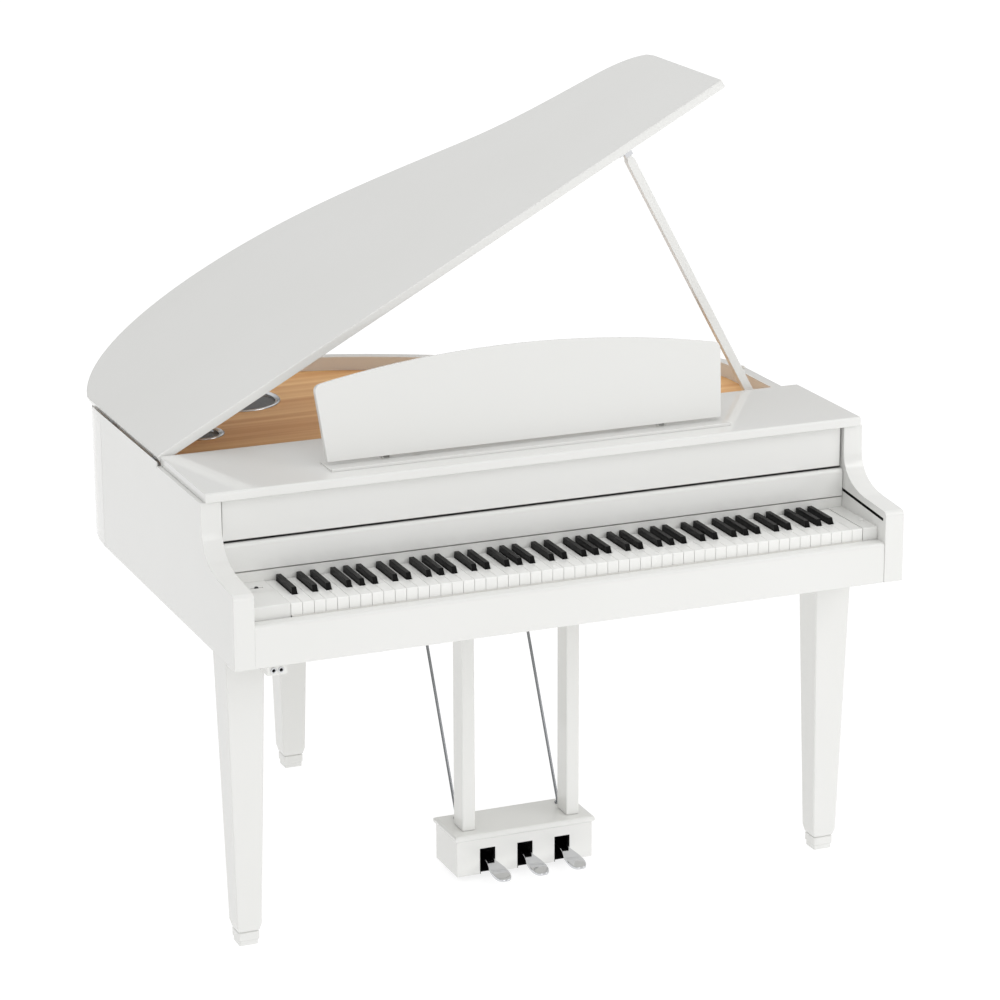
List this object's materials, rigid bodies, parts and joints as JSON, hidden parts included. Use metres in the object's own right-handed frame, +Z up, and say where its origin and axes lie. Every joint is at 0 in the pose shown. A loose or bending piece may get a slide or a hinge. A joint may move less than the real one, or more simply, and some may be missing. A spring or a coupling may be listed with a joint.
{
  "type": "digital grand piano",
  "caption": "Compact grand-shaped digital piano with a propped lid, folding music desk, sliding key cover, full keyboard, square tapered legs and a pedal lyre.",
  "frame": {"origin": "On the floor, under the middle of the instrument's bounding box.", "axes": "+X to the player's right, along the keyboard; +Y from the player to the tail; +Z up."},
  "size_m": [1.43, 1.237, 1.6011],
  "materials": {
    "white_lacquer": "polished white lacquer over board",
    "bare_board": "unpainted board",
    "soundboard_wood": "satin spruce-coloured veneer",
    "white_key": "smooth white key plastic",
    "black_key": "satin black key plastic",
    "white_plastic": "white moulded plastic",
    "black_plastic": "black moulded plastic",
    "circuit_board": "green circuit board",
    "speaker": "dark mesh in a silver ring",
    "chrome": "bright plated metal",
    "steel": "plain steel",
    "aluminium": "plain aluminium"
  },
  "bodies": {
    "case": {"left_side_board": "white_lacquer", "right_side_board": "white_lacquer", "bent_rim": "white_lacquer", "keybed": "bare_board", "key_slip": "white_lacquer", "bottom_board": "bare_board", "inner_bulkhead": "white_lacquer", "top_board": "white_lacquer", "name_board": "white_lacquer", "key_back_rail": "white_plastic", "left_cheek_block": "white_lacquer", "right_cheek_block": "white_lacquer", "key_frame": "steel", "sensor_board": "circuit_board", "soundboard": "soundboard_wood", "large_speaker_left": "speaker", "small_speaker_left": "speaker", "large_speaker_right": "speaker", "small_speaker_right": "speaker", "front_hinge_rim_leaf": "chrome", "rear_hinge_rim_leaf": "chrome", "prop_bracket": "chrome", "desk_base": "white_lacquer", "main_board": "circuit_board", "power_supply": "aluminium", "headphone_box": "white_plastic", "front_left_leg": "white_lacquer", "front_right_leg": "white_lacquer", "rear_leg": "white_lacquer", "lyre_frame": "white_lacquer", "lyre_box": "white_lacquer", "lyre_brace": "steel", "pedal_axle": "steel"},
    "lid": {"lid": "white_lacquer", "front_hinge_lid_leaf": "chrome", "rear_hinge_lid_leaf": "chrome", "prop_rest": "chrome"},
    "lid_prop": {"prop_stick": "white_lacquer"},
    "music_desk": {"desk_panel": "white_lacquer"},
    "desk_stay": {"desk_stay": "steel"},
    "key_cover": {"key_cover": "white_lacquer"},
    "volume_slider": {"volume_slider": "black_plastic"},
    "power_button": {"power_button": "white_plastic"},
    "left_pedal": {"pedal_left": "chrome"},
    "middle_pedal": {"pedal_middle": "chrome"},
    "right_pedal": {"pedal_right": "chrome"},
    "white_keys_1": {"white_keys_octave_1": "white_key"},
    "white_keys_2": {"white_keys_octave_2": "white_key"},
    "white_keys_3": {"white_keys_octave_3": "white_key"},
    "white_keys_4": {"white_keys_octave_4": "white_key"},
    "white_keys_5": {"white_keys_octave_5": "white_key"},
    "white_keys_6": {"white_keys_octave_6": "white_key"},
    "white_keys_7": {"white_keys_octave_7": "white_key"},
    "black_keys_1": {"black_keys_octave_1": "black_key"},
    "black_keys_2": {"black_keys_octave_2": "black_key"},
    "black_keys_3": {"black_keys_octave_3": "black_key"},
    "black_keys_4": {"black_keys_octave_4": "black_key"},
    "black_keys_5": {"black_keys_octave_5": "black_key"},
    "black_keys_6": {"black_keys_octave_6": "black_key"},
    "black_keys_7": {"black_keys_octave_7": "black_key"}
  },
  "joints": [
    {"name": "lid_hinge", "type": "hinge", "parent": "case", "child": "lid", "pos_m": [-0.7065, 0.0515, 0.9135], "axis": [0, -1, 0], "range_deg": [0, 20]},
    {"name": "prop_fold", "type": "hinge", "parent": "case", "child": "lid_prop", "pos_m": [0.62042, -0.1315, 0.892], "axis": [0, -1, 0], "range_deg": [0, 61.5]},
    {"name": "desk_fold", "type": "hinge", "parent": "case", "child": "music_desk", "pos_m": [0, -0.338, 0.94161], "axis": [-1, 0, 0], "range_deg": [0, 76]},
    {"name": "stay_fold", "type": "hinge", "parent": "music_desk", "child": "desk_stay", "pos_m": [0, -0.3182, 1.02736], "axis": [1, 0, 0], "range_deg": [0, 152]},
    {"name": "cover_slide", "type": "slide", "parent": "case", "child": "key_cover", "axis": [0, -0.9957, -0.0924], "range_m": [0, 0.165]},
    {"name": "volume_travel", "type": "slide", "parent": "case", "child": "volume_slider", "axis": [1, 0, 0], "range_m": [-0.009, 0.009]},
    {"name": "power_push", "type": "slide", "parent": "case", "child": "power_button", "axis": [0, 0, -1], "range_m": [0, 0.0016], "stiffness_N_per_m": 300, "springref_m": -0.001},
    {"name": "left_pedal_pivot", "type": "hinge", "parent": "case", "child": "left_pedal", "pos_m": [-0.084, -0.2465, 0.052], "axis": [1, 0, 0], "range_deg": [0, 6], "stiffness_Nm_per_rad": 12, "springref_deg": -11.46},
    {"name": "middle_pedal_pivot", "type": "hinge", "parent": "case", "child": "middle_pedal", "pos_m": [0, -0.2465, 0.052], "axis": [1, 0, 0], "range_deg": [0, 6], "stiffness_Nm_per_rad": 12, "springref_deg": -11.46},
    {"name": "right_pedal_pivot", "type": "hinge", "parent": "case", "child": "right_pedal", "pos_m": [0.084, -0.2465, 0.052], "axis": [1, 0, 0], "range_deg": [0, 6], "stiffness_Nm_per_rad": 12, "springref_deg": -11.46},
    {"name": "white_keys_1_pivot", "type": "hinge", "parent": "case", "child": "white_keys_1", "pos_m": [-0.4895, -0.3485, 0.72], "axis": [1, 0, 0], "range_deg": [0, 2.4], "stiffness_Nm_per_rad": 6, "springref_deg": -17.19},
    {"name": "white_keys_2_pivot", "type": "hinge", "parent": "case", "child": "white_keys_2", "pos_m": [-0.3007, -0.3485, 0.72], "axis": [1, 0, 0], "range_deg": [0, 2.4], "stiffness_Nm_per_rad": 6, "springref_deg": -17.19},
    {"name": "white_keys_3_pivot", "type": "hinge", "parent": "case", "child": "white_keys_3", "pos_m": [-0.1355, -0.3485, 0.72], "axis": [1, 0, 0], "range_deg": [0, 2.4], "stiffness_Nm_per_rad": 6, "springref_deg": -17.19},
    {"name": "white_keys_4_pivot", "type": "hinge", "parent": "case", "child": "white_keys_4", "pos_m": [0.0297, -0.3485, 0.72], "axis": [1, 0, 0], "range_deg": [0, 2.4], "stiffness_Nm_per_rad": 6, "springref_deg": -17.19},
    {"name": "white_keys_5_pivot", "type": "hinge", "parent": "case", "child": "white_keys_5", "pos_m": [0.1949, -0.3485, 0.72], "axis": [1, 0, 0], "range_deg": [0, 2.4], "stiffness_Nm_per_rad": 6, "springref_deg": -17.19},
    {"name": "white_keys_6_pivot", "type": "hinge", "parent": "case", "child": "white_keys_6", "pos_m": [0.3601, -0.3485, 0.72], "axis": [1, 0, 0], "range_deg": [0, 2.4], "stiffness_Nm_per_rad": 6, "springref_deg": -17.19},
    {"name": "white_keys_7_pivot", "type": "hinge", "parent": "case", "child": "white_keys_7", "pos_m": [0.5371, -0.3485, 0.72], "axis": [1, 0, 0], "range_deg": [0, 2.4], "stiffness_Nm_per_rad": 6, "springref_deg": -17.19},
    {"name": "black_keys_1_pivot", "type": "hinge", "parent": "case", "child": "black_keys_1", "pos_m": [-0.4863, -0.3485, 0.72], "axis": [1, 0, 0], "range_deg": [0, 2.4], "stiffness_Nm_per_rad": 4, "springref_deg": -17.19},
    {"name": "black_keys_2_pivot", "type": "hinge", "parent": "case", "child": "black_keys_2", "pos_m": [-0.3002, -0.3485, 0.72], "axis": [1, 0, 0], "range_deg": [0, 2.4], "stiffness_Nm_per_rad": 4, "springref_deg": -17.19},
    {"name": "black_keys_3_pivot", "type": "hinge", "parent": "case", "child": "black_keys_3", "pos_m": [-0.135, -0.3485, 0.72], "axis": [1, 0, 0], "range_deg": [0, 2.4], "stiffness_Nm_per_rad": 4, "springref_deg": -17.19},
    {"name": "black_keys_4_pivot", "type": "hinge", "parent": "case", "child": "black_keys_4", "pos_m": [0.0302, -0.3485, 0.72], "axis": [1, 0, 0], "range_deg": [0, 2.4], "stiffness_Nm_per_rad": 4, "springref_deg": -17.19},
    {"name": "black_keys_5_pivot", "type": "hinge", "parent": "case", "child": "black_keys_5", "pos_m": [0.1954, -0.3485, 0.72], "axis": [1, 0, 0], "range_deg": [0, 2.4], "stiffness_Nm_per_rad": 4, "springref_deg": -17.19},
    {"name": "black_keys_6_pivot", "type": "hinge", "parent": "case", "child": "black_keys_6", "pos_m": [0.3606, -0.3485, 0.72], "axis": [1, 0, 0], "range_deg": [0, 2.4], "stiffness_Nm_per_rad": 4, "springref_deg": -17.19},
    {"name": "black_keys_7_pivot", "type": "hinge", "parent": "case", "child": "black_keys_7", "pos_m": [0.5258, -0.3485, 0.72], "axis": [1, 0, 0], "range_deg": [0, 2.4], "stiffness_Nm_per_rad": 4, "springref_deg": -17.19}
  ],
  "couplings": [
    {"joint": "stay_fold", "follows": "desk_fold", "ratio": 2}
  ]
}
